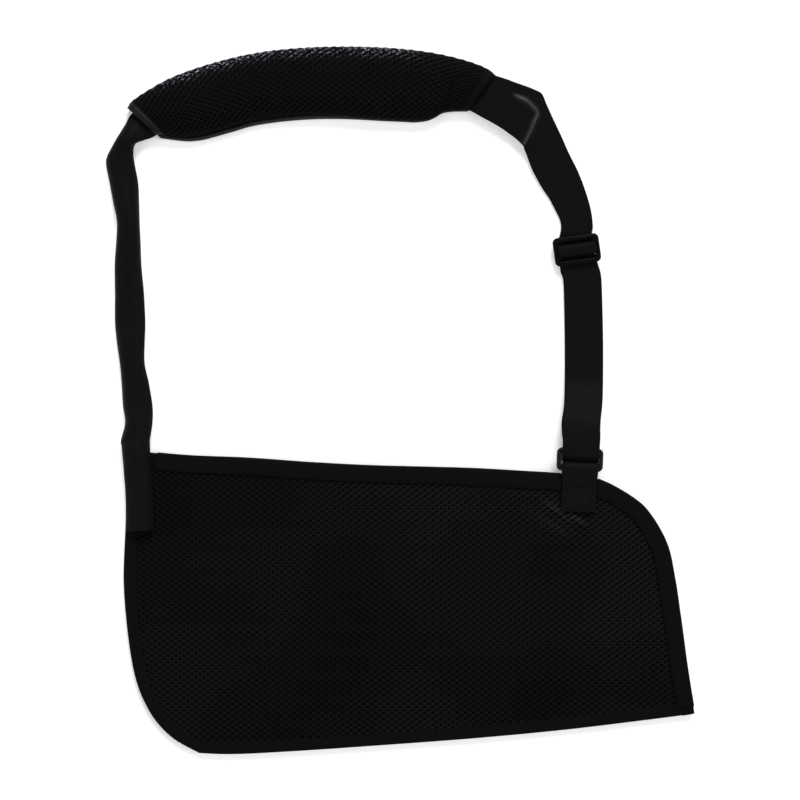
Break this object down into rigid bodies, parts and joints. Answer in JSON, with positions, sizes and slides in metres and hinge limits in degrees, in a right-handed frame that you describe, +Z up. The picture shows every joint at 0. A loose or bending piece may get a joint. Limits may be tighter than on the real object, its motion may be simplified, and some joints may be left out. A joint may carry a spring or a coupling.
{
  "type": "arm sling",
  "caption": "Mesh forearm pouch with a webbing neck strap, padded shoulder sleeve, tri-glide length slider and a strap ring, lying flat.",
  "frame": {"origin": "centre of the bounding box, on the floor the sling lies on", "axes": "+Y from the pouch to the shoulder pad, +X from the elbow end to the hand end, +Z up from the floor, out of the pouch's front"},
  "size_m": [0.4689, 0.5648, 0.0184],
  "materials": {
    "mesh": "black spacer mesh with a staggered net of small holes",
    "hem": "black woven hem and binding tape",
    "webbing": "black ribbed polyester webbing, faint sheen",
    "thread": "black bonded sewing thread",
    "plastic": "glossy black moulded acetal",
    "lining": "black brushed knit lining",
    "foam": "dark grey open-cell foam"
  },
  "bodies": {
    "pouch": {"back_panel": "mesh", "front_panel_lower": "mesh", "back_top_hem": "hem", "back_hand_hem": "hem", "seam_tape": "hem", "seam_thread": "thread", "strap_elbow_end": "webbing", "elbow_box_stitch": "thread"},
    "pouch_front": {"front_panel_upper": "mesh", "front_top_hem": "hem", "front_hand_hem": "hem", "top_hem_thread": "thread", "hand_hem_thread": "thread", "ring_tab": "webbing", "tab_box_stitch": "thread"},
    "ring": {"strap_ring": "plastic"},
    "strap": {"strap_left_run": "webbing", "strap_in_pad": "webbing", "strap_right_run": "webbing", "strap_front_layer": "webbing", "strap_back_layer": "webbing", "strap_ring_loop": "webbing"},
    "slider": {"tri_glide": "plastic", "strap_sewn_end": "webbing", "strap_over_bar": "webbing"},
    "shoulder_pad": {"pad_cover": "mesh", "pad_lining": "lining", "pad_foam": "foam", "pad_piping_upper": "hem", "pad_piping_lower": "hem", "pad_binding_left": "hem", "pad_binding_right": "hem"}
  },
  "joints": [
    {"name": "pouch_open", "type": "hinge", "parent": "pouch", "child": "pouch_front", "pos_m": [-0.209, -0.041, 0.0066], "axis": [0.9047, -0.4261, 0], "range_deg": [0, 30]},
    {"name": "strap_fold", "type": "hinge", "parent": "pouch_front", "child": "strap", "pos_m": [0.1432, -0.0546, 0.0129], "axis": [0.9993, -0.0386, 0], "range_deg": [0, 140]},
    {"name": "ring_swivel", "type": "hinge", "parent": "pouch_front", "child": "ring", "pos_m": [0.1432, -0.0546, 0.0129], "axis": [0.9993, -0.0386, 0], "range_deg": [0, 140]},
    {"name": "slider_slide", "type": "slide", "parent": "strap", "child": "slider", "axis": [0, -1, 0], "range_m": [0, 0.085], "deforming": ["strap_front_layer", "strap_back_layer"]},
    {"name": "pad_slide", "type": "hinge", "parent": "strap", "child": "shoulder_pad", "pos_m": [-0.028, -0.267, 0], "axis": [0, 0, -1], "range_deg": [0, 1.1]}
  ],
  "couplings": [
    {"joint": "ring_swivel", "follows": "strap_fold", "ratio": 1}
  ]
}
